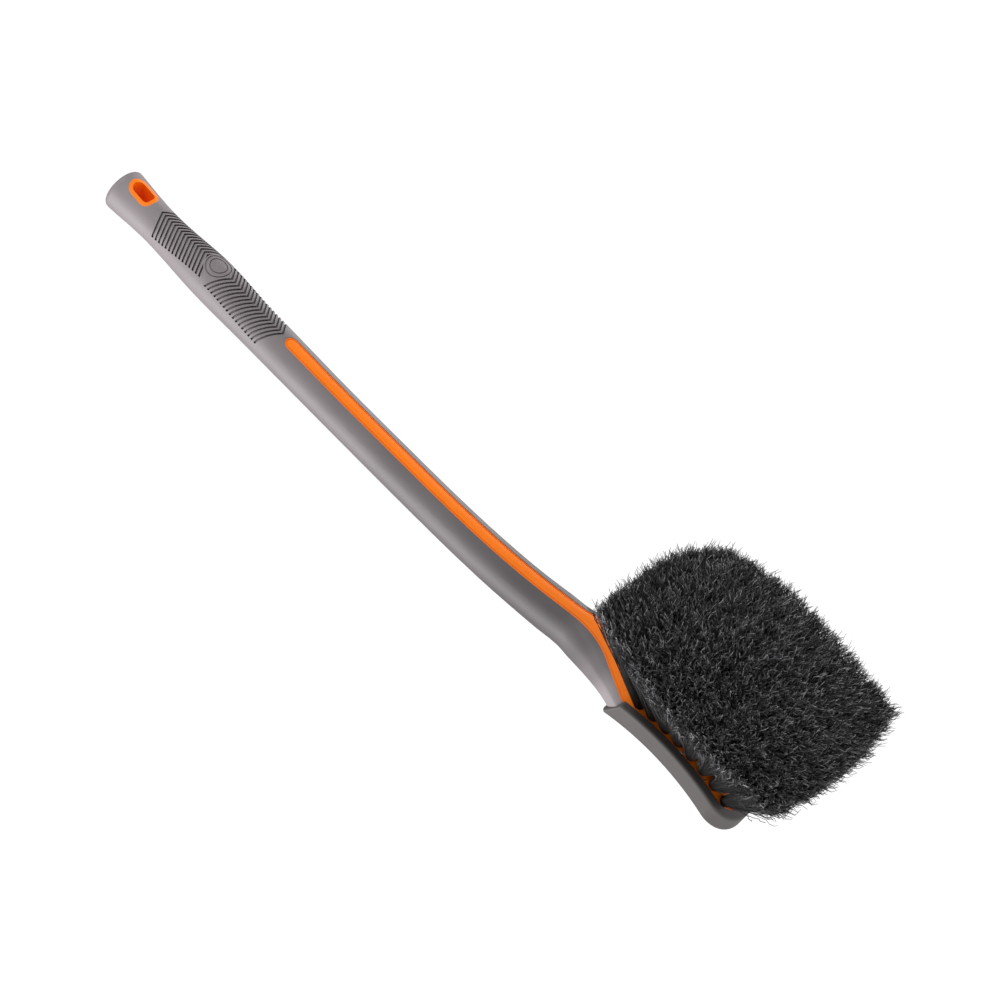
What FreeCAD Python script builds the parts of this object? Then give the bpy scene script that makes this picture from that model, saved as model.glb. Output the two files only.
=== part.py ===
import FreeCAD, Part

import math
import os

from FreeCAD import Vector

# Long-handled wheel brush, in millimetres.
#
# Frame: the origin is the centre of the hang hole, on the axis of the straight part of the
# handle. The brush hangs from that hole, so +Z runs up to the butt and the head is below.
# The bristles point to -Y and X runs across the brush.
#
# Two words are used for places along and through the brush:
#   drop  distance down from the hang hole (Z = -drop)
#   rise  distance from the straight handle's axis towards the bristle side (Y = -rise)

# ---- overall sizes ----------------------------------------------------------------------
BUTT_ABOVE_HOLE = 15.4       # butt face above the centre of the hang hole
HEAD_START = 408.0           # drop where the neck ends and the head begins
HEAD_LENGTH = 84.0           # head under the bumper, rear corner to far end
HEAD_HALF_WIDTH = 31.0       # core plate, out to the inside of the bumper
HEAD_CORNER_RADIUS = 12.0

# ---- handle sections: (drop, half width, half depth, shift of the centre to the front) ----
GRIP_SECTIONS = [
    (-BUTT_ABOVE_HOLE, 13.9, 13.6, 0.3),
    (-4.0, 13.2, 12.9, 0.1),
    (14.0, 11.9, 11.7, 0.0),
    (38.0, 12.5, 12.3, 0.2),
    (64.0, 14.0, 13.7, 0.9),
    (94.0, 13.3, 13.1, 0.3),
    (124.0, 12.9, 12.6, 0.0),
    (170.0, 12.6, 12.3, 0.0),
    (215.0, 12.6, 12.4, 0.0),
    (262.0, 12.7, 12.5, 0.0),
    (308.0, 13.0, 13.0, 0.0),
    (334.0, 13.4, 13.4, -0.6),
    (348.0, 13.6, 13.7, -1.1),
]
HANDLE_HALF_DEPTH = 12.5     # front of the straight handle above its axis
BUTT_ROUNDING = 3.0

# ---- side line: straight handle, two bends, a short ramp and the arched head --------------
FIRST_BEND_START = 165.0
FIRST_BEND_RADIUS = 1500.0
REACH_SLOPE = 0.03           # slope of the handle between its two bends
SECOND_BEND_START = 268.0
SECOND_BEND_RADIUS = 340.0
RAMP_SLOPE = 0.25
ARCH_RADIUS = 130.0          # the head bulges towards the bristles

# ---- neck, where the round handle spreads into the flat head ------------------------------
NECK_START = 358.0
NECK_HALF_WIDTH = 13.7
NECK_HALF_DEPTH = 13.9
NECK_STEPS = 6
NECK_EDGE = 4.4              # neck stands this far outside the plate where they meet
NECK_SPREAD = 1.35           # how late the neck spreads: 1 is straight, more is later
HEAD_THICKNESS = 13.0
HEAD_STEPS = 4
ROUND_SECTION = 2.0          # superellipse exponent of the handle
FLAT_SECTION = 4.6           # and of the head
SECTION_POINTS = 28

# ---- the rigid core and the soft skin over it ---------------------------------------------
SKIN = 3.0
STRIP_HALF_WIDTH = 4.4       # bare core along the front of the handle
STRIP_START = 124.0
STRIP_RECESS = 0.35          # the bare core sits this far below the skin
LINE_INSET = 0.8             # fine line cut round the bare core, in from its edge
LINE_WIDTH = 0.6
LINE_DEPTH = 0.4
FLARE_ANGLE = 35.0           # degrees, edge of the bare core where it widens to the plate
FLARE_RADIUS = 56.0
WINDOW_LENGTH = 46.0         # bare core in the middle of the head's back
WINDOW_HALF_WIDTH = 17.0
WINDOW_RADIUS = 9.0

# ---- hang hole ---------------------------------------------------------------------------
HOLE_HALF_WIDTH = 4.3
HOLE_LENGTH = 14.2
HOLE_CORNER_RADIUS = 2.4     # corners of the flatter end, towards the head
LINER_WALL = 2.3

# ---- grip texture ------------------------------------------------------------------------
GROOVE_WIDTH = 1.4
GROOVE_DEPTH = 0.9
GROOVE_PITCH = 2.75
UPPER_START = 16.5           # drop of the first chevron's point
UPPER_COUNT = 15
UPPER_HALF_SPAN = 11.5
UPPER_SLOPE = 0.54
LOWER_START = 75.5
LOWER_COUNT = 17
LOWER_HALF_SPAN = 12.5
LOWER_SLOPE = -0.64
BADGE_DROP = 65.0
BADGE_RADIUS = 8.0
BADGE_LAND = 0.9             # plain skin between the badge and the grooves
RING_WIDTH = 0.7
RING_DEPTH = 0.4
RING_RADII = [BADGE_RADIUS, 5.6]

# ---- bumper ------------------------------------------------------------------------------
BUMPER_WALL = 5.0
BUMPER_FRONT_LIP = 0.6       # bumper stands above the plate by this
BUMPER_BACK_LIP = 0.8        # and below the back of the head by this
BUMPER_FRONT_ROUND = 1.8
BUMPER_BACK_ROUND = 3.4
BUMPER_SLANT = 6.0           # its open ends lean: the front edge starts this much lower
BUMPER_OVERRUN = 4.5         # and the back edge starts this far up the neck
BUMPER_END_ROUND = 1.5
PLATE_START_GAP = 1.5        # the plate's outline begins this far above the bumper's ends

# ---- bristle tufts -----------------------------------------------------------------------
ROW_COUNT = 9                # every second row sits half a pitch nearer the neck
ROW_TUFTS = 8
TUFT_HOLE_DIAMETER = 5.8
HOLE_FLOOR = 2.2             # least core between a tuft hole and the skin behind it
EDGE_LAND = 1.9              # bare plate between the outermost holes and the bumper
END_LAND = 5.2               # and at the ends of the long rows, clear of the round corners
TUFT_HEIGHT = 54.0           # trimmed tips above the plate, in the middle of the head
TUFT_TIP_DIAMETER = 11.0
TRIM_SLOPE = -0.045          # the trimmed face falls slowly towards the far end
FAN_BACK = -34.0             # degrees, first tufts lean back over the neck
FAN_FORWARD = 24.0           # degrees, last tufts lean past the end
FAN_SIDE_FIRST = 12.0        # degrees, outermost rows at the neck
FAN_SIDE_MIDDLE = 22.0       # degrees, outermost rows half way down the head
FAN_SIDE_LAST = 17.0         # degrees, outermost rows at the far end
ANCHOR_LENGTH = 5.4
ANCHOR_HEIGHT = 2.0
ANCHOR_THICKNESS = 0.8

# ---- worked out --------------------------------------------------------------------------
HEAD_END = HEAD_START + HEAD_LENGTH
HEAD_MIDDLE = HEAD_START + HEAD_LENGTH / 2
NECK_EDGE_HALF_WIDTH = HEAD_HALF_WIDTH + NECK_EDGE
TUFT_HOLE_DEPTH = HEAD_THICKNESS - STRIP_RECESS - SKIN - HOLE_FLOOR
OUTER_ROW = HEAD_HALF_WIDTH - EDGE_LAND - TUFT_HOLE_DIAMETER / 2
ROW_PITCH = 2 * OUTER_ROW / (ROW_COUNT - 1)
FIELD_LENGTH = HEAD_LENGTH - 2 * END_LAND - TUFT_HOLE_DIAMETER
TUFT_PITCH = FIELD_LENGTH / (ROW_TUFTS - 1)
FAR = 300.0                  # reaches past anything it cuts
UP = Vector(0, 0, 1)


# ---- places and the side line ------------------------------------------------------------
def point(across, drop, rise=0.0):
    return Vector(across, -rise, -drop)


def bend_rise(drop, start, slope, radius, end_slope):
    """Rise gained from a bend's start: it curves to its end slope and then runs straight."""
    bend = (end_slope - slope) * radius
    run = max(drop - start, 0.0)
    curved = min(run, bend)
    return slope * curved + curved * curved / (2 * radius) + end_slope * (run - curved)


def front_rise(drop):
    """Rise of the front middle line: straight, two bends, a ramp, then the arched head."""
    before_head = min(drop, HEAD_START)
    reach = min(before_head, SECOND_BEND_START)
    rise = HANDLE_HALF_DEPTH
    rise += bend_rise(reach, FIRST_BEND_START, 0.0, FIRST_BEND_RADIUS, REACH_SLOPE)
    rise += bend_rise(before_head, SECOND_BEND_START, REACH_SLOPE, SECOND_BEND_RADIUS, RAMP_SLOPE)
    if drop > HEAD_START:
        rise += arch_height(drop) - arch_height(HEAD_START)
    return rise


def crest_drop():
    """Drop of the highest place of the arch, which starts at the ramp's slope."""
    return HEAD_START + ARCH_RADIUS * RAMP_SLOPE / math.hypot(1.0, RAMP_SLOPE)


def arch_height(drop):
    return math.sqrt(ARCH_RADIUS ** 2 - (drop - crest_drop()) ** 2)


def arch_axis_rise():
    """Rise of the arch's centre, behind the head."""
    return front_rise(HEAD_START) - arch_height(HEAD_START)


# ---- the outer form ----------------------------------------------------------------------
def section(drop, half_width, half_depth, centre_rise, exponent, inset):
    """A closed superellipse across the brush, drawn inset from its outer size."""
    points = []
    for i in range(SECTION_POINTS):
        angle = 2 * math.pi * i / SECTION_POINTS
        side = math.cos(angle)
        front = math.sin(angle)
        across = math.copysign(abs(side) ** (2 / exponent), side) * (half_width - inset)
        rise = math.copysign(abs(front) ** (2 / exponent), front) * (half_depth - inset)
        points.append(point(across, drop, centre_rise + rise))
    curve = Part.BSplineCurve()
    even = [float(i) for i in range(SECTION_POINTS + 1)]
    curve.interpolate(Points=points, PeriodicFlag=True, Parameters=even)
    return Part.Wire([curve.toShape()])


def handle_section(drop, half_width, half_depth, shift, inset):
    centre = front_rise(drop) - HANDLE_HALF_DEPTH + shift
    return section(drop, half_width, half_depth, centre, ROUND_SECTION, inset)


def neck_section(share, inset):
    drop = NECK_START + (HEAD_START - NECK_START) * share
    half_width = NECK_HALF_WIDTH + (NECK_EDGE_HALF_WIDTH - NECK_HALF_WIDTH) * share ** NECK_SPREAD
    ease = share * share * (3 - 2 * share)
    half_depth = NECK_HALF_DEPTH + (HEAD_THICKNESS / 2 - NECK_HALF_DEPTH) * ease
    exponent = ROUND_SECTION + (FLAT_SECTION - ROUND_SECTION) * share
    return section(drop, half_width, half_depth, front_rise(drop) - half_depth, exponent, inset)


def head_section(share, inset):
    drop = HEAD_START + (HEAD_LENGTH + NECK_EDGE_HALF_WIDTH - HEAD_HALF_WIDTH) * share
    half_depth = HEAD_THICKNESS / 2
    centre = front_rise(drop) - half_depth
    return section(drop, NECK_EDGE_HALF_WIDTH, half_depth, centre, FLAT_SECTION, inset)


def brush_form(inset=0.0):
    """Handle, neck and head as one solid, or the same solid drawn inset."""
    butt = GRIP_SECTIONS[0]
    long_part = [handle_section(butt[0] + inset, *butt[1:], inset)]
    for row in GRIP_SECTIONS[1:]:
        long_part.append(handle_section(*row, inset))
    for i in range(NECK_STEPS + 1):
        long_part.append(neck_section(i / NECK_STEPS, inset))
    head = [head_section(i / HEAD_STEPS, inset) for i in range(HEAD_STEPS + 1)]
    return Part.makeLoft(long_part, True).fuse(Part.makeLoft(head, True))


def grip_floor(depth):
    """The textured part of the grip, drawn inset by the depth of what is cut into it."""
    return Part.makeLoft([handle_section(*row, depth) for row in GRIP_SECTIONS], True)


# ---- flat outlines, seen from the front, and what they cut --------------------------------
def through(edges, front_only=False):
    """A prism right through the brush over a closed outline of edges."""
    face = Part.Face(Part.Wire(Part.__sortEdges__(edges)))
    face.translate(Vector(0, -FAR, 0))
    return face.extrude(Vector(0, FAR if front_only else 2 * FAR, 0))


def line(start, end):
    return Part.makeLine(start, end)


def arc(start, middle, end):
    return Part.Arc(start, middle, end).toShape()


def corner(across, drop, radius, side, up=False):
    """The rounded corner of an outline, with its centre at (across, drop)."""
    down = -1 if up else 1
    lean = radius * math.sqrt(0.5)
    return arc(
        point(side * (across + radius), drop),
        point(side * (across + lean), drop + down * lean),
        point(side * across, drop + down * radius),
    )


def plate_outline(grow=0.0):
    """The head seen from the front, with a straight upper edge above the bumper's ends."""
    half = HEAD_HALF_WIDTH + grow
    top = HEAD_START - BUMPER_OVERRUN - PLATE_START_GAP
    radius = HEAD_CORNER_RADIUS + grow
    across = half - radius
    drop = HEAD_END + grow - radius
    return [
        line(point(-half, top), point(half, top)),
        line(point(half, top), point(half, drop)),
        corner(across, drop, radius, 1),
        line(point(across, drop + radius), point(-across, drop + radius)),
        corner(across, drop, radius, -1),
        line(point(-half, drop), point(-half, top)),
    ]


def bare_outline(inset=0.0):
    """The strip of bare core down the handle, widening to the full plate."""
    turn = math.radians(FLARE_ANGLE)
    strip = STRIP_HALF_WIDTH - inset
    half = HEAD_HALF_WIDTH - inset
    radius = HEAD_CORNER_RADIUS - inset
    flare_radius = FLARE_RADIUS + inset
    flare_foot = HEAD_START + inset * math.tan(turn / 2)
    bend_end = strip + flare_radius * (1 - math.cos(turn))
    bend_end_drop = flare_foot - (half - bend_end) / math.tan(turn)
    start_drop = bend_end_drop - flare_radius * math.sin(turn)
    middle = strip + flare_radius * (1 - math.cos(turn / 2))
    middle_drop = start_drop + flare_radius * math.sin(turn / 2)
    round_drop = STRIP_START + STRIP_HALF_WIDTH
    corner_drop = HEAD_END - HEAD_CORNER_RADIUS
    edges = [
        arc(
            point(-strip, round_drop),
            point(0, STRIP_START + inset),
            point(strip, round_drop),
        ),
        line(point(half - radius, HEAD_END - inset), point(radius - half, HEAD_END - inset)),
    ]
    for side in (-1, 1):
        strip_end = point(side * strip, start_drop)
        flare_end = point(side * bend_end, bend_end_drop)
        edges.append(line(point(side * strip, round_drop), strip_end))
        edges.append(arc(strip_end, point(side * middle, middle_drop), flare_end))
        edges.append(line(flare_end, point(side * half, flare_foot)))
        edges.append(line(point(side * half, flare_foot), point(side * half, corner_drop)))
        edges.append(corner(half - radius, corner_drop, radius, side))
    return edges


def rounded_outline(half_width, top, bottom, radius):
    edges = []
    across = half_width - radius
    for drop, up in ((top + radius, True), (bottom - radius, False)):
        end = top if up else bottom
        edges.append(line(point(-across, end), point(across, end)))
        for side in (-1, 1):
            edges.append(corner(across, drop, radius, side, up))
    for side in (-1, 1):
        edges.append(line(point(side * half_width, top + radius), point(side * half_width, bottom - radius)))
    return edges


def hole_outline(grow=0.0):
    """The hang hole: round towards the butt, flatter towards the head."""
    half = HOLE_HALF_WIDTH + grow
    top = -HOLE_LENGTH / 2 - grow
    bottom = HOLE_LENGTH / 2 + grow
    radius = HOLE_CORNER_RADIUS + grow
    across = half - radius
    edges = [
        arc(point(-half, top + half), point(0, top), point(half, top + half)),
        line(point(-across, bottom), point(across, bottom)),
    ]
    for side in (-1, 1):
        edges.append(line(point(side * half, top + half), point(side * half, bottom - radius)))
        edges.append(corner(across, bottom - radius, radius, side))
    return edges


def front_half():
    """Everything in front of the middle of the brush's depth."""
    steps = 24
    first = -BUTT_ABOVE_HOLE - SKIN
    last = HEAD_END + SKIN
    middle = []
    for i in range(steps + 1):
        drop = first + (last - first) * i / steps
        middle.append(point(-FAR, drop, front_rise(drop) - HEAD_THICKNESS / 2))
    curve = Part.BSplineCurve()
    curve.interpolate(middle)
    far_top = point(-FAR, first, FAR)
    far_bottom = point(-FAR, last, FAR)
    edges = [
        curve.toShape(),
        line(middle[-1], far_bottom),
        line(far_bottom, far_top),
        line(far_top, middle[0]),
    ]
    return Part.Face(Part.Wire(edges)).extrude(Vector(2 * FAR, 0, 0))


# ---- tufts -------------------------------------------------------------------------------
def along_fan(share):
    """Lean of a tuft down the head, in degrees, from the neck (0) to the far end (1)."""
    return FAN_BACK + (FAN_FORWARD - FAN_BACK) * share


def side_fan(share):
    """Lean of the outermost rows: a curve through its first, middle and last values."""
    swing = 2 * share - 1
    slope = (FAN_SIDE_LAST - FAN_SIDE_FIRST) / 2
    hollow = (FAN_SIDE_LAST + FAN_SIDE_FIRST) / 2 - FAN_SIDE_MIDDLE
    return FAN_SIDE_MIDDLE + slope * swing + hollow * swing * swing


def tuft_places():
    """For each row, the root on the plate, the direction and the length of every tuft."""
    rows = []
    for row in range(ROW_COUNT):
        across = row * ROW_PITCH - OUTER_ROW
        first = HEAD_MIDDLE - FIELD_LENGTH / 2 - (row % 2) * TUFT_PITCH / 2
        places = []
        for i in range(ROW_TUFTS):
            drop = first + i * TUFT_PITCH
            share = (drop - HEAD_MIDDLE) / FIELD_LENGTH + 0.5
            along = math.tan(math.radians(along_fan(share)))
            sideways = math.tan(math.radians(side_fan(share) * across / OUTER_ROW))
            root = point(across, drop, front_rise(drop) - STRIP_RECESS)
            direction = point(sideways, along, 1.0)
            trim = front_rise(HEAD_MIDDLE) + TUFT_HEIGHT + TRIM_SLOPE * (drop - HEAD_MIDDLE)
            height = (trim + root.y) / (1 - TRIM_SLOPE * along)
            length = height * direction.Length
            places.append((root, direction.normalize(), length))
        rows.append(places)
    return rows


def tuft_hole(root, direction):
    foot = root - direction * TUFT_HOLE_DEPTH
    reach = TUFT_HOLE_DEPTH + TUFT_HOLE_DIAMETER
    return Part.makeCylinder(TUFT_HOLE_DIAMETER / 2, reach, foot, direction)


def tuft_anchor(root, direction):
    """A flat metal clip across the bottom of a tuft's hole."""
    foot = root - direction * TUFT_HOLE_DEPTH
    block = Part.makeBox(ANCHOR_LENGTH, ANCHOR_THICKNESS, ANCHOR_HEIGHT)
    block.translate(Vector(-ANCHOR_LENGTH / 2, -ANCHOR_THICKNESS / 2, 0))
    block.Placement = FreeCAD.Placement(foot, FreeCAD.Rotation(UP, direction)) * block.Placement
    return block


def tuft(root, direction, length):
    """Filaments folded over the anchor: a root in the hole and a flaring brush above it."""
    foot = root - direction * TUFT_HOLE_DEPTH
    radius = TUFT_HOLE_DIAMETER / 2
    stem = Part.makeCylinder(radius, TUFT_HOLE_DEPTH, foot, direction)
    flare = Part.makeCone(radius, TUFT_TIP_DIAMETER / 2, length, root, direction)
    whole = stem.fuse(flare).removeSplitter()
    return whole.cut(tuft_anchor(root, direction))


# ---- pieces ------------------------------------------------------------------------------
def bare_zones():
    """Where the skin leaves the core bare: the front strip and plate, and the back window."""
    front = front_half()
    top = HEAD_MIDDLE - WINDOW_LENGTH / 2
    window = rounded_outline(WINDOW_HALF_WIDTH, top, top + WINDOW_LENGTH, WINDOW_RADIUS)
    return [through(bare_outline()).common(front), through(window).cut(front)]


def core_blank(outer, zones, bumper_space):
    """The rigid core before its tuft holes: bar, bare strip, plate and hang hole liner."""
    bare = brush_form(STRIP_RECESS)
    liner = outer.common(through(hole_outline(LINER_WALL)))
    core = brush_form(SKIN).multiFuse([bare.common(zone) for zone in zones] + [liner])
    return core.cut([through(hole_outline()), bumper_space])


def edge_line():
    """The fine line cut into the bare core, a little in from its edge."""
    band = through(bare_outline(LINE_INSET)).cut(through(bare_outline(LINE_INSET + LINE_WIDTH)))
    return band.common(front_half()).cut(brush_form(STRIP_RECESS + LINE_DEPTH))


def make_core(blank, tuft_rows):
    holes = [tuft_hole(root, direction) for row in tuft_rows for root, direction, _ in row]
    return blank.cut(holes + [edge_line()])


def bumper_zone():
    """The space around the head's edge that belongs to the bumper."""
    back = front_rise(HEAD_START) - HEAD_THICKNESS
    lean = BUMPER_SLANT / HEAD_THICKNESS
    start = HEAD_START - BUMPER_OVERRUN
    corners = [
        point(-FAR, start - lean * FAR, back - FAR),
        point(-FAR, start + lean * FAR, back + FAR),
        point(-FAR, HEAD_END + FAR, back + FAR),
        point(-FAR, HEAD_END + FAR, back - FAR),
    ]
    half_space = Part.Face(Part.makePolygon(corners + corners[:1])).extrude(Vector(2 * FAR, 0, 0))
    return half_space.cut(through(plate_outline()))


def arch_slab(front_lip, back_lip):
    """The arched slab between two cylinders about the arch's axis."""
    axis_start = point(-FAR, crest_drop(), arch_axis_rise())
    front = Part.makeCylinder(ARCH_RADIUS + front_lip, 2 * FAR, axis_start, Vector(1, 0, 0))
    inner_radius = ARCH_RADIUS - HEAD_THICKNESS - back_lip
    back = Part.makeCylinder(inner_radius, 2 * FAR, axis_start, Vector(1, 0, 0))
    return front.cut(back)


def outer_edges(rim, radius):
    """The rim's edges at this radius from the arch's axis, away from its inner wall."""
    inner = through(plate_outline(BUMPER_WALL / 2), True)
    edges = []
    for edge in rim.Edges:
        middle = edge.valueAt((edge.FirstParameter + edge.LastParameter) / 2)
        places = [middle, edge.Vertexes[0].Point, edge.Vertexes[-1].Point]
        if any(inner.isInside(place, 0.01, True) for place in places):
            continue
        from_axis = math.hypot(middle.y + arch_axis_rise(), middle.z + crest_drop())
        if abs(from_axis - radius) < 0.05:
            edges.append(edge)
    return edges


def open_end_edges(rim):
    """The outer edges of the two flat faces where the rim ends on the neck."""
    upright = HEAD_THICKNESS / math.hypot(HEAD_THICKNESS, BUMPER_SLANT)
    edges = []
    for face in rim.Faces:
        if face.Surface.TypeId != "Part::GeomPlane" or face.CenterOfMass.z < -HEAD_MIDDLE:
            continue
        if abs(abs(face.normalAt(0, 0).z) - upright) > 0.001:
            continue
        for edge in face.Edges:
            if all(abs(end.X) > HEAD_HALF_WIDTH + 0.01 for end in edge.Vertexes):
                edges.append(edge)
    return edges


def make_bumper(zone):
    """The thick rim round the head, with rounded outer edges."""
    ring = through(plate_outline(BUMPER_WALL), True).common(zone)
    rim = ring.common(arch_slab(BUMPER_FRONT_LIP, BUMPER_BACK_LIP))
    back = ARCH_RADIUS - HEAD_THICKNESS - BUMPER_BACK_LIP
    rim = rim.makeFillet(BUMPER_BACK_ROUND, outer_edges(rim, back))
    rim = rim.makeFillet(BUMPER_FRONT_ROUND, outer_edges(rim, ARCH_RADIUS + BUMPER_FRONT_LIP))
    return rim.makeFillet(BUMPER_END_ROUND, open_end_edges(rim))


def chevrons(start, count, half_span, slope):
    cutters = []
    for i in range(count):
        drop = start + i * GROOVE_PITCH
        end = drop + slope * half_span
        corners = [
            point(-half_span, end),
            point(0, drop),
            point(half_span, end),
            point(half_span, end + GROOVE_WIDTH),
            point(0, drop + GROOVE_WIDTH),
            point(-half_span, end + GROOVE_WIDTH),
        ]
        cutters.append(through(Part.makePolygon(corners + corners[:1]).Edges, True))
    return cutters


def round_prism(radius):
    circle = Part.makeCircle(radius, point(0, BADGE_DROP), Vector(0, 1, 0))
    return through([circle], True)


def grip_cutter():
    """Chevron grooves above and below the badge, and the badge's two rings."""
    grooves = chevrons(UPPER_START, UPPER_COUNT, UPPER_HALF_SPAN, UPPER_SLOPE)
    grooves += chevrons(LOWER_START, LOWER_COUNT, LOWER_HALF_SPAN, LOWER_SLOPE)
    texture = Part.makeCompound(grooves).cut(round_prism(BADGE_RADIUS + BADGE_LAND))
    texture = texture.cut(grip_floor(GROOVE_DEPTH))
    rings = []
    for radius in RING_RADII:
        rings.append(round_prism(radius).cut(round_prism(radius - RING_WIDTH)))
    badge = Part.makeCompound(rings).cut(grip_floor(RING_DEPTH))
    return [texture, badge]


def make_skin(outer, blank, zones, bumper_space):
    """The soft overmould: everything of the outer form that the core and bumper leave."""
    butt_rim = [edge for edge in outer.Edges if edge.CenterOfMass.z > BUTT_ABOVE_HOLE - 0.01]
    rounded = outer.makeFillet(BUTT_ROUNDING, butt_rim)
    return rounded.cut([blank, bumper_space, through(hole_outline())] + zones + grip_cutter())


def save(name, shape):
    print(name, "solids", len(shape.Solids), "valid", shape.isValid(), round(shape.Volume))
    shape.exportStep(f"parts/{name}.step")


def main():
    os.makedirs("parts", exist_ok=True)
    outer = brush_form()
    tuft_rows = tuft_places()
    bumper_space = bumper_zone()
    zones = bare_zones()
    blank = core_blank(outer, zones, bumper_space)
    save("handle_core", make_core(blank, tuft_rows))
    save("head_bumper", make_bumper(bumper_space))
    save("soft_grip", make_skin(outer, blank, zones, bumper_space))
    for number, places in enumerate(tuft_rows, 1):
        tufts = [tuft(*place) for place in places]
        anchors = [tuft_anchor(root, direction) for root, direction, _ in places]
        save(f"tuft_row_{number:02d}", Part.makeCompound(tufts))
        save(f"tuft_anchors_{number:02d}", Part.makeCompound(anchors))


main()
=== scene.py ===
"""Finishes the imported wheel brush: moulded plastics, grip texture, bristles and a pale studio."""
import math

import bpy
import numpy as np
from mathutils import Matrix, Vector


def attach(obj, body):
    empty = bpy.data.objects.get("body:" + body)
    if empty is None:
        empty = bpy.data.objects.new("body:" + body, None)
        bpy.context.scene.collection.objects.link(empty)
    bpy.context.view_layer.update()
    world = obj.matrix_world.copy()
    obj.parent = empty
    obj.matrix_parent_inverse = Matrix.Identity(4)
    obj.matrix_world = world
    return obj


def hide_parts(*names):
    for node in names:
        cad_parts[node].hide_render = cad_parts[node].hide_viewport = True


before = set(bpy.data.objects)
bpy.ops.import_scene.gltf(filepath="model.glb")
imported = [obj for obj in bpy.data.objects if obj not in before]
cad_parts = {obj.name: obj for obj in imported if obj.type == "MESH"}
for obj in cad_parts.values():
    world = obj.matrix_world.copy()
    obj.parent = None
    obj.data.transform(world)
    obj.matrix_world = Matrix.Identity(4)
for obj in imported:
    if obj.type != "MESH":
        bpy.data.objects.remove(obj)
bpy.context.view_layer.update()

bl_info = {
    "name": "Wheel Brush Finish",
    "version": (1, 0, 0),
    "blender": (4, 5, 0),
    "location": "View3D > Sidebar > Brush",
    "description": "Gives a wheel brush its plastics, filaments and studio",
    "category": "Object",
}

BODY = "root"
ROWS = sorted(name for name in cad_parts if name.startswith("tuft_row_"))
ANCHORS = sorted(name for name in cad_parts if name.startswith("tuft_anchors_"))
ROOT_ABOVE_FOOT = 0.0055    # filaments start this far up a tuft, inside its hole
GRIP_END = -0.1225          # height of the textured grip's lower end
GROOVE_SHADE_REACH = 0.0016       # painted shade: how far a groove's walls darken its bottom
GRIP_FADE = 0.001
WHITE = (1.0, 1.0, 1.0, 1.0)
BACKDROP_LIGHT = 1.05       # the room as the camera sees it, a clean white
FLOOR_RADIUS = 1.3
FLOOR_TONES = ((0.93, 0.93, 0.93, 1.0), (0.96, 0.96, 0.96, 1.0))
# painted light and shade on the skin's grey, from the head up to the butt: height, share; a painted
# highlight just above the bumper, darker through the neck, lighter towards the butt
SKIN_PAINTED_LIGHT = (
    (-0.44, 0.62), (-0.400, 1.5), (-0.385, 0.80), (-0.370, 0.50), (-0.33, 0.43),
    (-0.24, 0.72), (-0.16, 0.95), (-0.06, 1.17), (0.02, 1.30),
)


# ---- sizes and colours -------------------------------------------------------------------
class BristleSettings(bpy.types.PropertyGroup):
    """Filaments of the tufts."""

    per_tuft: bpy.props.IntProperty(
        name="Filaments per Tuft", description="Filaments in each tuft", default=520, min=10)
    thickness: bpy.props.FloatProperty(
        name="Thickness", description="Diameter of one filament", default=0.00040,
        subtype="DISTANCE", unit="LENGTH")
    crimp: bpy.props.FloatProperty(
        name="Crimp", description="Height of the waves near a filament's end",
        default=0.0011, subtype="DISTANCE", unit="LENGTH")
    uneven: bpy.props.FloatProperty(
        name="Uneven Ends", description="How far trimmed ends differ in height",
        default=0.0012, subtype="DISTANCE", unit="LENGTH")
    overlap: bpy.props.FloatProperty(
        name="Overlap", description="Share of its own width by which a tuft mixes with the next",
        default=0.3, min=0.0)
    side_margin: bpy.props.FloatProperty(
        name="Side Margin", description="Trimmed face beyond the outermost tuft tips",
        default=0.0105, subtype="DISTANCE", unit="LENGTH")
    end_margin: bpy.props.FloatProperty(
        name="End Margin", description="Trimmed face beyond the last tuft tips",
        default=0.0075, subtype="DISTANCE", unit="LENGTH")
    neck_margin: bpy.props.FloatProperty(
        name="Neck Margin", description="Trimmed face beyond the tuft tips nearest the neck",
        default=-0.0075, subtype="DISTANCE", unit="LENGTH")
    neck_corner: bpy.props.FloatProperty(
        name="Neck Corners", description="Rounding of the face towards the neck, 0 square",
        default=0.41, min=0.0, max=0.5)
    near_corner: bpy.props.FloatProperty(
        name="Near Corner", description="How far the near corner towards the neck is drawn in",
        default=0.03, min=0.0, max=0.5)
    end_corner: bpy.props.FloatProperty(
        name="End Corners", description="Rounding of the face at the far end, 0 square",
        default=0.20, min=0.0, max=0.5)
    skew: bpy.props.FloatProperty(
        name="Skew", description="How far down one side of the face hangs, for each unit across",
        default=0.06)
    fringe: bpy.props.FloatProperty(
        name="Fringe", description="How far loose filaments reach past the edge of the face",
        default=0.0045, subtype="DISTANCE", unit="LENGTH")
    seed: bpy.props.IntProperty(name="Seed", description="Seed of the filaments", default=7)
    dark: bpy.props.FloatVectorProperty(
        name="Dark", description="Colour of most filaments", size=4, subtype="COLOR",
        default=(0.005, 0.005, 0.0054, 1.0))
    # the palest filaments are partly lighter flagged ends and partly painted highlights
    light: bpy.props.FloatVectorProperty(
        name="Light", description="Colour of the palest filaments", size=4, subtype="COLOR",
        default=(0.55, 0.54, 0.54, 1.0))


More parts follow.
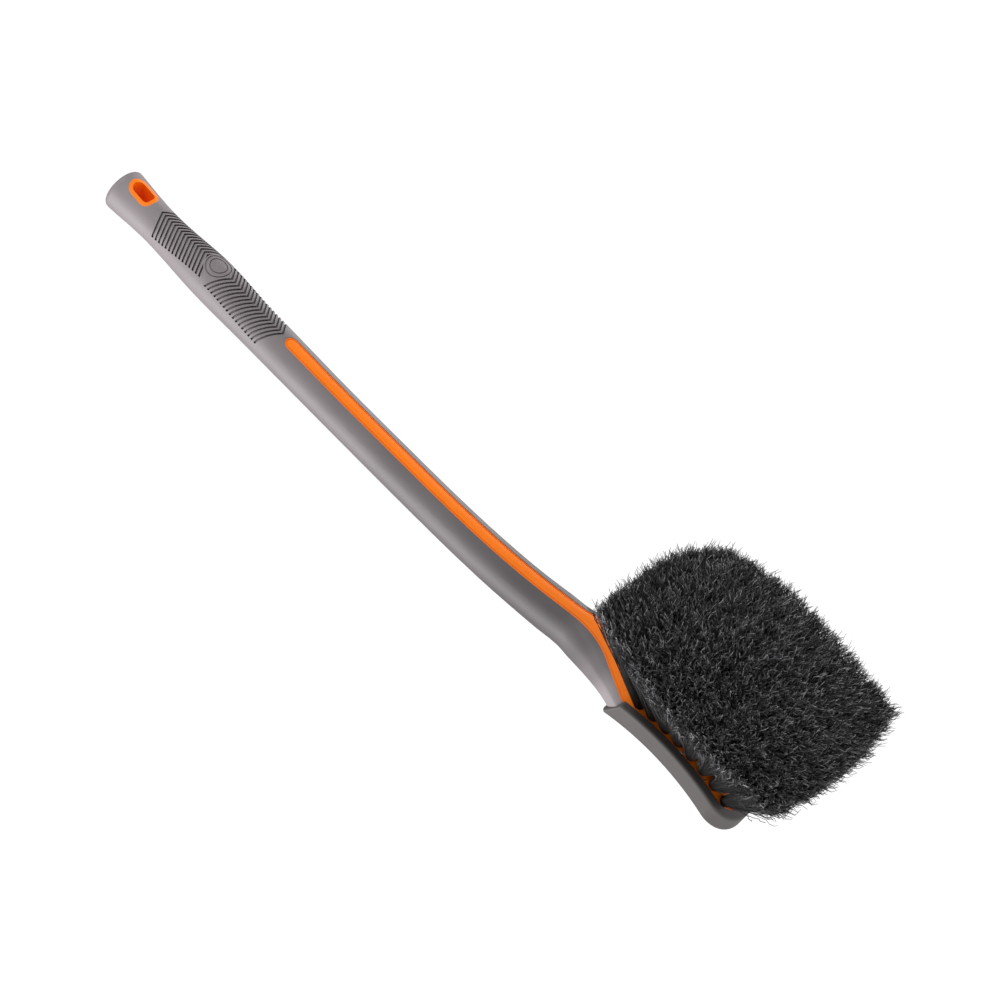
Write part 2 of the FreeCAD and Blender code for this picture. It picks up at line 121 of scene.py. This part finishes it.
class FinishSettings(bpy.types.PropertyGroup):
    """Colours of the moulded pieces."""

    core: bpy.props.FloatVectorProperty(
        name="Core", description="Bright rigid plastic", size=4, subtype="COLOR",
        default=(1.0, 0.205, 0.0, 1.0))
    skin: bpy.props.FloatVectorProperty(
        name="Skin", description="Soft grey overmould", size=4, subtype="COLOR",
        default=(0.165, 0.145, 0.150, 1.0))
    # painted shade: the near-black painted on the bottoms of the grip's grooves, where their walls
    # close in
    groove: bpy.props.FloatVectorProperty(
        name="Groove", description="Dirt dark bottom of the grip's grooves", size=4,
        subtype="COLOR", default=(0.020, 0.017, 0.019, 1.0))
    bumper: bpy.props.FloatVectorProperty(
        name="Bumper", description="Rubber rim of the head", size=4, subtype="COLOR",
        default=(0.058, 0.051, 0.050, 1.0))
    anchor: bpy.props.FloatVectorProperty(
        name="Anchor", description="Metal clips in the tuft holes", size=4, subtype="COLOR",
        default=(0.55, 0.55, 0.53, 1.0))


class StudioSettings(bpy.types.PropertyGroup):
    """Camera, floor and lights."""

    azimuth: bpy.props.FloatProperty(
        name="Azimuth", description="Camera direction round the brush",
        default=math.radians(-37.834), subtype="ANGLE", unit="ROTATION")
    elevation: bpy.props.FloatProperty(
        name="Elevation", description="Camera height above the level line",
        default=math.radians(-10.081), subtype="ANGLE", unit="ROTATION")
    roll: bpy.props.FloatProperty(
        name="Roll", description="Turn of the camera about its own line of sight",
        default=math.radians(-44.588), subtype="ANGLE", unit="ROTATION")
    distance: bpy.props.FloatProperty(
        name="Distance", description="Camera to the middle of the handle", default=1.25,
        subtype="DISTANCE", unit="LENGTH")
    aim: bpy.props.FloatVectorProperty(
        name="Aim", description="Point that the camera looks at", size=3,
        default=(0.01134, -0.03329, -0.27928), subtype="TRANSLATION", unit="LENGTH")
    lens: bpy.props.FloatProperty(
        name="Lens", description="Focal length in millimetres", default=81.0)
    room_light: bpy.props.FloatProperty(
        name="Room Light", description="Light that the white room gives from all round",
        default=0.38)
    floor_drop: bpy.props.FloatProperty(
        name="Floor Drop", description="Floor below the hang hole", default=0.9,
        subtype="DISTANCE", unit="LENGTH")


# ---- material helpers --------------------------------------------------------------------
def new_material(name, roughness, specular=0.5):
    material = bpy.data.materials.new(name)
    material.use_nodes = True
    shader = material.node_tree.nodes["Principled BSDF"]
    shader.inputs["Roughness"].default_value = roughness
    shader.inputs["Specular IOR Level"].default_value = specular
    return material, shader


def object_coordinates(tree):
    return tree.nodes.new("ShaderNodeTexCoord").outputs["Object"]


def remap(tree, value, low, high, out_low, out_high):
    node = tree.nodes.new("ShaderNodeMapRange")
    tree.links.new(value, node.inputs["Value"])
    node.inputs["From Min"].default_value = low
    node.inputs["From Max"].default_value = high
    node.inputs["To Min"].default_value = out_low
    node.inputs["To Max"].default_value = out_high
    return node.outputs["Result"]


def mix_colour(tree, factor, first, second):
    node = tree.nodes.new("ShaderNodeMix")
    node.data_type = "RGBA"
    tree.links.new(factor, node.inputs["Factor"])
    for socket, value in ((node.inputs["A"], first), (node.inputs["B"], second)):
        if isinstance(value, bpy.types.NodeSocket):
            tree.links.new(value, socket)
        else:
            socket.default_value = tuple(value)
    return node.outputs["Result"]


def new_group(name, inputs, output, kind):
    """An empty shader group with these inputs and one output, and its two end nodes."""
    group = bpy.data.node_groups.new(name, "ShaderNodeTree")
    for label, socket_kind, value in inputs:
        socket = group.interface.new_socket(
            name=label, in_out="INPUT", socket_type=socket_kind)
        socket.default_value = value
    group.interface.new_socket(name=output, in_out="OUTPUT", socket_type=kind)
    return group, group.nodes.new("NodeGroupInput"), group.nodes.new("NodeGroupOutput")


def group_noise(group, given):
    """Noise in the object's own coordinates at the group's scale."""
    node = group.nodes.new("ShaderNodeTexNoise")
    group.links.new(object_coordinates(group), node.inputs["Vector"])
    group.links.new(given.outputs["Scale"], node.inputs["Scale"])
    group.links.new(given.outputs["Detail"], node.inputs["Detail"])
    return node.outputs["Fac"]


def grain_group():
    """Fine grain of a moulded or drawn surface, as a normal."""
    group, given, result = new_group("surface_grain", (
        ("Scale", "NodeSocketFloat", 1500.0),
        ("Detail", "NodeSocketFloat", 2.0),
        ("Strength", "NodeSocketFloat", 0.1),
        ("Depth", "NodeSocketFloat", 0.0002),
    ), "Normal", "NodeSocketVector")
    node = group.nodes.new("ShaderNodeBump")
    group.links.new(group_noise(group, given), node.inputs["Height"])
    group.links.new(given.outputs["Strength"], node.inputs["Strength"])
    group.links.new(given.outputs["Depth"], node.inputs["Distance"])
    group.links.new(node.outputs["Normal"], result.inputs["Normal"])
    return group


def cloud_group():
    """Two tones of one colour, mixed in soft clouds."""
    group, given, result = new_group("soft_clouds", (
        ("Scale", "NodeSocketFloat", 40.0),
        ("Detail", "NodeSocketFloat", 4.0),
        ("First", "NodeSocketColor", (0.5, 0.5, 0.5, 1.0)),
        ("Second", "NodeSocketColor", (0.6, 0.6, 0.6, 1.0)),
    ), "Colour", "NodeSocketColor")
    share = remap(group, group_noise(group, given), 0.3, 0.7, 0.0, 1.0)
    colour = mix_colour(group, share, given.outputs["First"], given.outputs["Second"])
    group.links.new(colour, result.inputs["Colour"])
    return group


SHARED_GROUPS = {"surface_grain": grain_group, "soft_clouds": cloud_group}


def use_group(tree, name, **values):
    """The output of a shared group, made once, with its inputs set to these values."""
    node = tree.nodes.new("ShaderNodeGroup")
    node.node_tree = bpy.data.node_groups.get(name) or SHARED_GROUPS[name]()
    for label, value in values.items():
        node.inputs[label].default_value = value
    return node.outputs[0]


def grain(tree, shader, **values):
    tree.links.new(use_group(tree, "surface_grain", **values), shader.inputs["Normal"])


def painted_light_by_height(tree, stops):
    """The height, and a grey of painted light and shade that changes with it: stops are (z, tone),
    lowest first.
    """
    split = tree.nodes.new("ShaderNodeSeparateXYZ")
    tree.links.new(object_coordinates(tree), split.inputs["Vector"])
    low, high = stops[0][0], stops[-1][0]
    ramp = tree.nodes.new("ShaderNodeValToRGB")
    tree.links.new(remap(tree, split.outputs["Z"], low, high, 0.0, 1.0), ramp.inputs["Fac"])
    ramp.color_ramp.interpolation = "EASE"
    points = ramp.color_ramp.elements
    points[0].color = [stops[0][1]] * 3 + [1.0]
    points[1].color = [stops[-1][1]] * 3 + [1.0]
    for z, tone in stops[1:-1]:
        points.new((z - low) / (high - low)).color = [tone] * 3 + [1.0]
    return split.outputs["Z"], ramp.outputs["Color"]


def shade(colour, factor):
    return [channel * factor for channel in colour[:3]] + [1.0]


def finish_node(name, material):
    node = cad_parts[name]
    node.data.materials.clear()
    node.data.materials.append(material)


def bristle_material(settings):
    material, shader = new_material("black_filament", 0.45, 0.4)
    tree = material.node_tree
    tone = tree.nodes.new("ShaderNodeAttribute")
    tone.attribute_name = "filament_tone"
    ramp = tree.nodes.new("ShaderNodeValToRGB")
    tree.links.new(tone.outputs["Fac"], ramp.inputs["Fac"])
    stops = ramp.color_ramp.elements
    stops[0].color = settings.dark
    stops[1].color = settings.light
    # lighter stops: partly the filaments' lighter flagged ends, partly painted highlights
    for place, share in ((0.35, 1.8), (0.62, 12.0), (0.84, 36.0)):
        stops.new(place).color = shade(settings.dark, share)
    tree.links.new(ramp.outputs["Color"], shader.inputs["Base Color"])
    grain(tree, shader, Scale=1500.0, Strength=0.2)
    return material


# ---- filaments ---------------------------------------------------------------------------
FILAMENT_RINGS = (0.45, 0.70, 0.82, 0.89, 0.95)
FILAMENT_TURNS = (0.0, 0.9, 1.9, 2.6, 3.7, 5.1)
RING_REACH = 0.001          # vertices this close to a height belong to its ring
WAVE_START = 0.3            # share of a filament that stays straight
WAVE_TURN = 1.9             # turn of the wave from one ring to the next
WAVE_TURN_SPREAD = 0.25     # and how that differs between filaments
ROOT_SHARE = 0.55           # thickness at the root and at the end, as shares
END_SHARE = 0.6
ROOT_SHADE_TONE = 0.25            # painted shade among the roots: share of its own tone that a filament has at the root
ROOT_SPREAD = 0.93          # share of the hole that the roots fill
LOOSENESS = 0.12            # how far ends leave their even places in a tuft
AXIS_PULL = 0.25            # how much of the bend follows the tuft's own axis
FRINGE_SHARE = 0.2          # filaments that reach past the edge of the trimmed face
EDGE_POWER = 5              # how closely the fringe keeps to that edge
SUNK_SHARE = 0.25           # filaments cut short, and by how much at most
SUNK_DEPTH = 0.005
END_SLICE = 0.02            # share of a tuft's length that counts as its end
AXIS_PASSES = 4


def deselect_all():
    bpy.ops.object.select_all(action="DESELECT")


def select_ring(filament, height):
    bpy.ops.mesh.select_all(action="DESELECT")
    bpy.ops.object.mode_set(mode="OBJECT")
    for vertex in filament.data.vertices:
        vertex.select = abs(vertex.co.z - height) <= RING_REACH
    bpy.ops.object.mode_set(mode="EDIT")


def model_filament(settings, phase):
    """One upright filament, one unit tall, with waves that grow towards its end."""
    deselect_all()
    bpy.ops.mesh.primitive_cylinder_add(
        vertices=3, radius=settings.thickness / 2, depth=1.0, location=(0.0, 0.0, 0.5))
    filament = bpy.context.object
    bpy.ops.object.transform_apply(location=True)
    bpy.ops.object.mode_set(mode="EDIT")
    for height in FILAMENT_RINGS:
        bpy.ops.mesh.select_all(action="SELECT")
        bpy.ops.mesh.bisect(plane_co=(0.0, 0.0, height), plane_no=(0.0, 0.0, 1.0))
    bpy.ops.mesh.select_mode(type="VERT")
    for number, height in enumerate(FILAMENT_RINGS + (1.0,)):
        growth = 2.0 * max(height - WAVE_START, 0.0) ** 2
        angle = phase + number * (WAVE_TURN + WAVE_TURN_SPREAD * phase)
        sway = settings.crimp * growth
        select_ring(filament, height)
        bpy.ops.transform.translate(value=(sway * math.cos(angle), sway * math.sin(angle), 0.0))
    for height, share in ((0.0, ROOT_SHARE), (1.0, END_SHARE)):
        select_ring(filament, height)
        bpy.ops.transform.resize(value=(share, share, 1.0))
    bpy.ops.object.mode_set(mode="OBJECT")
    mesh = filament.data
    points = np.array([vertex.co for vertex in mesh.vertices])
    faces = [list(face.vertices) for face in mesh.polygons]
    bpy.data.objects.remove(filament)
    return points, faces


def unit(vector):
    return vector / np.linalg.norm(vector)


def tuft_axes(node):
    """The foot and the trimmed end of each tuft's axis, from the loose parts of a row."""
    mesh = node.data
    points = np.array([vertex.co for vertex in mesh.vertices])
    _, same = np.unique(np.round(points, 6), axis=0, return_inverse=True)
    same = same.ravel()
    label = np.arange(same.max() + 1)
    edges = same[np.array([edge.vertices for edge in mesh.edges])]
    changed = True
    while changed:
        low = np.minimum(label[edges[:, 0]], label[edges[:, 1]])
        before = label.copy()
        np.minimum.at(label, edges[:, 0], low)
        np.minimum.at(label, edges[:, 1], low)
        label = label[label]
        changed = not np.array_equal(before, label)
    axes = []
    for part in np.unique(label):
        island = points[label[same] == part]
        axis = np.array([0.0, -1.0, 0.0])
        for _ in range(AXIS_PASSES):
            along = island @ axis
            reach = along.max() - along.min()
            feet = island[along < along.min() + END_SLICE * reach]
            foot = feet.mean(axis=0)
            tip = island[along > along.max() - END_SLICE * reach].mean(axis=0)
            axis = unit(tip - foot)
        radius = np.linalg.norm(feet - foot, axis=1).max()
        axes.append((foot, tip, radius))
    return sorted(axes, key=lambda tuft: -tuft[0][2])


def folded(share):
    """Shares past either end of 0 to 1 turned back inside, as -1 to 1."""
    return 1.0 - 2.0 * np.abs(1.0 - np.abs(share))


# row, tuft and where the end lies from the tuft's foot: across, out from the plate, along
STRAYS = (
    (0, -1, (-0.010, -0.034, -0.031)),
    (0, -1, (-0.008, -0.033, -0.026)),
    (0, -1, (-0.016, -0.030, -0.020)),
    (0, 0, (-0.012, -0.046, 0.034)),
    (2, 0, (-0.010, -0.044, 0.036)),
    (0, 2, (-0.026, -0.040, -0.004)),
    (0, 4, (-0.028, -0.036, 0.004)),
    (0, 5, (-0.024, -0.030, -0.006)),
)


class TrimmedField:
    """The face that the tufts are trimmed to, and the share of it that each tuft fills."""

    def __init__(self, rows, settings):
        self.rows = list(rows.values())
        tips = np.array([tuft[1] for tufts in self.rows for tuft in tufts])
        self.slope, self.height = np.polyfit(tips[:, 2], -tips[:, 1], 1)
        top = tips[:, 2].max() + settings.neck_margin
        bottom = tips[:, 2].min() - settings.end_margin
        self.middle = (top + bottom) / 2
        self.half_length = (top - bottom) / 2
        self.half_width = np.abs(tips[:, 0]).max() + settings.side_margin
        self.settings = settings

    def ends(self, row, index, across, along, draw):
        """Ends of filaments whose place in their tuft is (across, along), each -1 to 1."""
        reach = 0.5 + self.settings.overlap / 2
        side = folded((row + 0.5 + across * reach) / len(self.rows))
        down = folded((index + 0.5 + along * reach) / len(self.rows[row]))
        corner = np.where(down < 0.0, self.settings.neck_corner, self.settings.end_corner)
        x = self.half_width * side * np.sqrt(1.0 - corner * down ** 2)
        near = (down < 0.0) & (side < 0.0)
        drawn_in = np.where(near, self.settings.near_corner, corner)
        z = self.middle - self.half_length * down * np.sqrt(1.0 - drawn_in * side ** 2)
        z = z - self.settings.skew * x
        size = len(z)
        loose = np.where(draw.uniform(size=size) < FRINGE_SHARE, draw.uniform(size=size), 0.0)
        x = x + side ** EDGE_POWER * loose * self.settings.fringe
        z = z - down ** EDGE_POWER * loose * self.settings.fringe
        low = draw.normal(0.0, 1.0, size) * self.settings.uneven
        sunk = draw.uniform(size=size) < SUNK_SHARE
        low -= np.where(sunk, draw.uniform(0.0, SUNK_DEPTH, size), 0.0)
        return np.stack([x, -(self.height + self.slope * z + low), z], axis=1)


def filament_ends(tuft, row, index, count, field, draw):
    """Where the filaments of one tuft leave the plate and where they end."""
    foot, tip, hole_radius = tuft
    axis = unit(tip - foot)
    sideways = unit(np.cross(axis, (0.0, 0.0, 1.0)))
    down = np.cross(sideways, axis)
    if sideways[0] < 0:
        sideways = -sideways
    if down[2] > 0:
        down = -down
    square = draw.uniform(-1.0, 1.0, (2, count))
    across = square[0] * np.sqrt(1.0 - square[1] ** 2 / 2)
    along = square[1] * np.sqrt(1.0 - square[0] ** 2 / 2)
    start = foot + axis * ROOT_ABOVE_FOOT
    spread = across[:, None] * sideways + along[:, None] * down
    roots = start + ROOT_SPREAD * hole_radius * spread
    loose = draw.normal(0.0, LOOSENESS, (2, count))
    ends = field.ends(row, index, square[0] + loose[0], square[1] + loose[1], draw)
    return roots, ends


def bend_copies(pattern, roots, ends, axis, turn):
    """Copies of one filament, each bent from its root along the tuft and out to its end."""
    length = np.linalg.norm(ends - roots, axis=1)[:, None]
    straight_on = roots + axis * length / 2
    middle = straight_on * AXIS_PULL + (roots + ends) / 2 * (1 - AXIS_PULL)
    share = pattern[:, 2][None, :, None]
    path = ((1 - share) ** 2 * roots[:, None] + 2 * share * (1 - share) * middle[:, None]
            + share ** 2 * ends[:, None])
    heading = 2 * (1 - share) * (middle - roots)[:, None] + 2 * share * (ends - middle)[:, None]
    heading /= np.linalg.norm(heading, axis=2, keepdims=True)
    first = np.cross(heading, np.array([0.0, 0.0, 1.0]))
    first /= np.linalg.norm(first, axis=2, keepdims=True)
    second = np.cross(heading, first)
    cosine = np.cos(turn)[:, None]
    sine = np.sin(turn)[:, None]
    x = pattern[:, 0][None] * cosine - pattern[:, 1][None] * sine
    y = pattern[:, 0][None] * sine + pattern[:, 1][None] * cosine
    return path + x[:, :, None] * first + y[:, :, None] * second


def row_mesh(name, points, faces, tones):
    """One mesh from copied filaments: points is (filaments, vertices, 3), tones the same."""
    copies, size = points.shape[:2]
    flat = [corner for face in faces for corner in face]
    sizes = np.array([len(face) for face in faces])
    corners = (np.array(flat)[None] + (np.arange(copies) * size)[:, None]).ravel()
    counts = np.tile(sizes, copies)
    mesh = bpy.data.meshes.new(name)
    mesh.vertices.add(copies * size)
    mesh.vertices.foreach_set("co", points.astype(np.float32).ravel())
    mesh.loops.add(len(corners))
    mesh.loops.foreach_set("vertex_index", corners.astype(np.int32))
    mesh.polygons.add(len(counts))
    starts = np.concatenate([[0], np.cumsum(counts)[:-1]])
    mesh.polygons.foreach_set("loop_start", starts.astype(np.int32))
    mesh.update(calc_edges=True)
    mesh.validate()
    mesh.attributes.new("filament_tone", "FLOAT", "POINT")
    mesh.attributes["filament_tone"].data.foreach_set(
        "value", tones.astype(np.float32).ravel())
    piece = bpy.data.objects.new(name, mesh)
    bpy.context.scene.collection.objects.link(piece)
    return piece


# ---- studio ------------------------------------------------------------------------------
# name, place in the camera's own axes (right, up, towards the camera), size and power
SOFTBOXES = (
    ("left_softbox", (-1.15, -0.6, 0.25), (1.2, 0.8), 26.0),
    ("far_softbox", (0.9, 0.9, -0.7), (1.4, 1.0), 16.0),
    ("top_softbox", (-0.5, 1.3, 0.7), (0.7, 0.7), 12.0),
)


def camera_turn(studio):
    back = Vector((
        math.sin(studio.azimuth) * math.cos(studio.elevation),
        -math.cos(studio.azimuth) * math.cos(studio.elevation),
        math.sin(studio.elevation),
    ))
    return back.to_track_quat("Z", "Y") @ Matrix.Rotation(studio.roll, 3, "Z").to_quaternion()


# ---- operators ---------------------------------------------------------------------------
class BRUSH_OT_core(bpy.types.Operator):
    """Give the rigid core its bright moulded plastic"""

    bl_idname = "brush.core"
    bl_label = "Core"

    def execute(self, context):
        finish = context.scene.brush_finish
        material, shader = new_material("bright_core_plastic", 0.45, 0.25)
        tree = material.node_tree
        colour = use_group(
            tree, "soft_clouds", Scale=60.0, First=shade(finish.core, 0.94), Second=finish.core)
        tree.links.new(colour, shader.inputs["Base Color"])
        grain(tree, shader, Scale=1400.0, Strength=0.08)
        finish_node("handle_core", material)
        return {"FINISHED"}


class BRUSH_OT_skin(bpy.types.Operator):
    """Give the soft grip and neck their matte grey overmould, with painted light and shade that
    change with height and painted shade in the grip's grooves
    """

    bl_idname = "brush.skin"
    bl_label = "Soft Grip"

    def execute(self, context):
        finish = context.scene.brush_finish
        material, shader = new_material("soft_grey_skin", 0.55)
        tree = material.node_tree
        grey = use_group(
            tree, "soft_clouds", Scale=28.0, Detail=5.0,
            First=shade(finish.skin, 0.93), Second=shade(finish.skin, 1.07))
        # painted light and shade by height: a painted highlight just above the bumper, darker
        # through the neck, lighter towards the butt
        height, tone = painted_light_by_height(tree, SKIN_PAINTED_LIGHT)
        painted_light_mix = tree.nodes.new("ShaderNodeMix")
        painted_light_mix.data_type = "RGBA"
        painted_light_mix.blend_type = "MULTIPLY"
        painted_light_mix.inputs["Factor"].default_value = 1.0
        tree.links.new(grey, painted_light_mix.inputs["A"])
        tree.links.new(tone, painted_light_mix.inputs["B"])
        # painted shade: ambient occlusion darkens the bottoms of the grip's grooves to the groove
        # colour, above the grip's lower end
        groove_occlusion = tree.nodes.new("ShaderNodeAmbientOcclusion")
        groove_occlusion.inputs["Distance"].default_value = GROOVE_SHADE_REACH
        open_share = remap(tree, groove_occlusion.outputs["AO"], 0.35, 0.8, 0.0, 1.0)
        below_grip = remap(tree, height, GRIP_END - GRIP_FADE, GRIP_END, 1.0, 0.0)
        plain = tree.nodes.new("ShaderNodeMath")
        plain.operation = "MAXIMUM"
        tree.links.new(open_share, plain.inputs[0])
        tree.links.new(below_grip, plain.inputs[1])
        colour = mix_colour(tree, plain.outputs["Value"], finish.groove, painted_light_mix.outputs["Result"])
        tree.links.new(colour, shader.inputs["Base Color"])
        grain(tree, shader, Scale=1300.0, Strength=0.07)
        finish_node("soft_grip", material)
        return {"FINISHED"}


class BRUSH_OT_bumper(bpy.types.Operator):
    """Give the head's rim its rubber"""

    bl_idname = "brush.bumper"
    bl_label = "Bumper"

    def execute(self, context):
        finish = context.scene.brush_finish
        material, shader = new_material("bumper_rubber", 0.6)
        tree = material.node_tree
        colour = use_group(
            tree, "soft_clouds", Scale=40.0, Detail=5.0,
            First=shade(finish.bumper, 0.92), Second=shade(finish.bumper, 1.08))
        tree.links.new(colour, shader.inputs["Base Color"])
        grain(tree, shader, Scale=1300.0, Strength=0.07)
        finish_node("head_bumper", material)
        return {"FINISHED"}


class BRUSH_OT_anchors(bpy.types.Operator):
    """Give the clips in the tuft holes their metal"""

    bl_idname = "brush.anchors"
    bl_label = "Anchors"

    def execute(self, context):
        finish = context.scene.brush_finish
        material, shader = new_material("anchor_metal", 0.35)
        shader.inputs["Metallic"].default_value = 1.0
        tree = material.node_tree
        colour = use_group(
            tree, "soft_clouds", Scale=900.0, Detail=2.0,
            First=shade(finish.anchor, 0.8), Second=finish.anchor)
        tree.links.new(colour, shader.inputs["Base Color"])
        for name in ANCHORS:
            finish_node(name, material)
        return {"FINISHED"}


class BRUSH_OT_bristles(bpy.types.Operator):
    """Fill every tuft with crimped filaments that are trimmed to one sloping face"""

    bl_idname = "brush.bristles"
    bl_label = "Bristles"

    def execute(self, context):
        settings = context.scene.brush_bristles
        patterns = [model_filament(settings, turn) for turn in FILAMENT_TURNS]
        rows = {name: tuft_axes(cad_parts[name]) for name in ROWS}
        field = TrimmedField(rows, settings)
        material = bristle_material(settings)
        for row, name in enumerate(ROWS):
            draw = np.random.default_rng(settings.seed + row)
            points, tones = self.fill_row(row, rows[name], patterns, field, draw, settings)
            piece = row_mesh("bristles_" + name[-2:], points, patterns[0][1], tones)
            piece.data.materials.append(material)
            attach(piece, BODY)
            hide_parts(name)
        return {"FINISHED"}

    def fill_row(self, row, tufts, patterns, field, draw, settings):
        blocks = []
        tones = []
        count = settings.per_tuft
        for index, tuft in enumerate(tufts):
            roots, ends = filament_ends(tuft, row, index, count, field, draw)
            self.stray(row, index - len(tufts), index, tuft[0], ends)
            pick = draw.integers(len(patterns), size=count)
            turn = draw.uniform(0.0, 2.0 * math.pi, count)
            axis = unit(tuft[1] - tuft[0])
            for number, (pattern, _) in enumerate(patterns):
                chosen = pick == number
                blocks.append(bend_copies(
                    pattern, roots[chosen], ends[chosen], axis, turn[chosen]))
                tone = draw.uniform(0.0, 1.0, int(chosen.sum()))
                # painted shade: each filament darkens down towards its root
                root_shade = ROOT_SHADE_TONE + (1.0 - ROOT_SHADE_TONE) * pattern[:, 2] ** 2
                tones.append(tone[:, None] * root_shade[None, :])
        return np.concatenate(blocks), np.concatenate(tones)


    def stray(self, row, from_end, index, foot, ends):
        """Let the first few filaments of some tufts stray out of the trimmed face."""
        moved = [place for at, tuft, place in STRAYS if at == row and tuft in (index, from_end)]
        for number, place in enumerate(moved):
            ends[number] = foot + np.array(place)


class BRUSH_OT_studio(bpy.types.Operator):
    """Add the pale floor, the soft lights and the camera"""

    bl_idname = "brush.studio"
    bl_label = "Studio"

    def execute(self, context):
        studio = context.scene.brush_studio
        self.add_floor(studio)
        self.add_lights(studio)
        self.add_camera(context, studio)
        return {"FINISHED"}

    def add_floor(self, studio):
        deselect_all()
        bpy.ops.mesh.primitive_circle_add(
            vertices=96, radius=FLOOR_RADIUS, fill_type="NGON",
            location=(0.0, 0.0, -studio.floor_drop))
        floor = bpy.context.object
        floor.name = "studio_floor"
        material, shader = new_material("pale_floor", 0.9, 0.0)
        tree = material.node_tree
        colour = use_group(
            tree, "soft_clouds", Scale=3.0, First=FLOOR_TONES[0], Second=FLOOR_TONES[1])
        tree.links.new(colour, shader.inputs["Base Color"])
        floor.data.materials.append(material)

    def add_lights(self, studio):
        world = bpy.data.worlds.new("studio_air")
        world.use_nodes = True
        tree = world.node_tree
        background = tree.nodes["Background"]
        ray = tree.nodes.new("ShaderNodeLightPath")
        strength = remap(
            tree, ray.outputs["Is Camera Ray"], 0.0, 1.0, studio.room_light, BACKDROP_LIGHT)
        background.inputs["Color"].default_value = WHITE
        tree.links.new(strength, background.inputs["Strength"])
        bpy.context.scene.world = world
        turn = camera_turn(studio)
        aim = Vector(studio.aim)
        for name, place, size, power in SOFTBOXES:
            position = aim + turn @ Vector(place)
            deselect_all()
            bpy.ops.object.light_add(type="AREA", location=position)
            light = bpy.context.object
            light.name = name
            light.data.shape = "RECTANGLE"
            light.data.size = size[0]
            light.data.size_y = size[1]
            light.data.energy = power
            light.rotation_euler = (position - aim).to_track_quat("Z", "Y").to_euler()

    def add_camera(self, context, studio):
        turn = camera_turn(studio)
        bpy.ops.object.camera_add(
            location=Vector(studio.aim) + turn @ Vector((0.0, 0.0, studio.distance)))
        camera = context.object
        camera.rotation_euler = turn.to_euler()
        camera.data.lens = studio.lens
        context.scene.camera = camera


class BRUSH_PT_panel(bpy.types.Panel):
    """Lists the steps that finish the brush"""

    bl_label = "Wheel Brush"
    bl_idname = "BRUSH_PT_panel"
    bl_space_type = "VIEW_3D"
    bl_region_type = "UI"
    bl_category = "Brush"

    def draw(self, context):
        for step in STEPS:
            self.layout.operator(step.bl_idname)


STEPS = (
    BRUSH_OT_core,
    BRUSH_OT_skin,
    BRUSH_OT_bumper,
    BRUSH_OT_anchors,
    BRUSH_OT_bristles,
    BRUSH_OT_studio,
)
CLASSES = (BristleSettings, FinishSettings, StudioSettings) + STEPS + (BRUSH_PT_panel,)


def register():
    for item in CLASSES:
        bpy.utils.register_class(item)
    bpy.types.Scene.brush_bristles = bpy.props.PointerProperty(type=BristleSettings)
    bpy.types.Scene.brush_finish = bpy.props.PointerProperty(type=FinishSettings)
    bpy.types.Scene.brush_studio = bpy.props.PointerProperty(type=StudioSettings)


def unregister():
    del bpy.types.Scene.brush_studio
    del bpy.types.Scene.brush_finish
    del bpy.types.Scene.brush_bristles
    for item in reversed(CLASSES):
        bpy.utils.unregister_class(item)


def main():
    register()
    bpy.context.scene.view_settings.view_transform = "Standard"
    bpy.ops.brush.core()
    bpy.ops.brush.skin()
    bpy.ops.brush.bumper()
    bpy.ops.brush.anchors()
    bpy.ops.brush.bristles()
    bpy.ops.brush.studio()


if __name__ == "__main__":
    main()
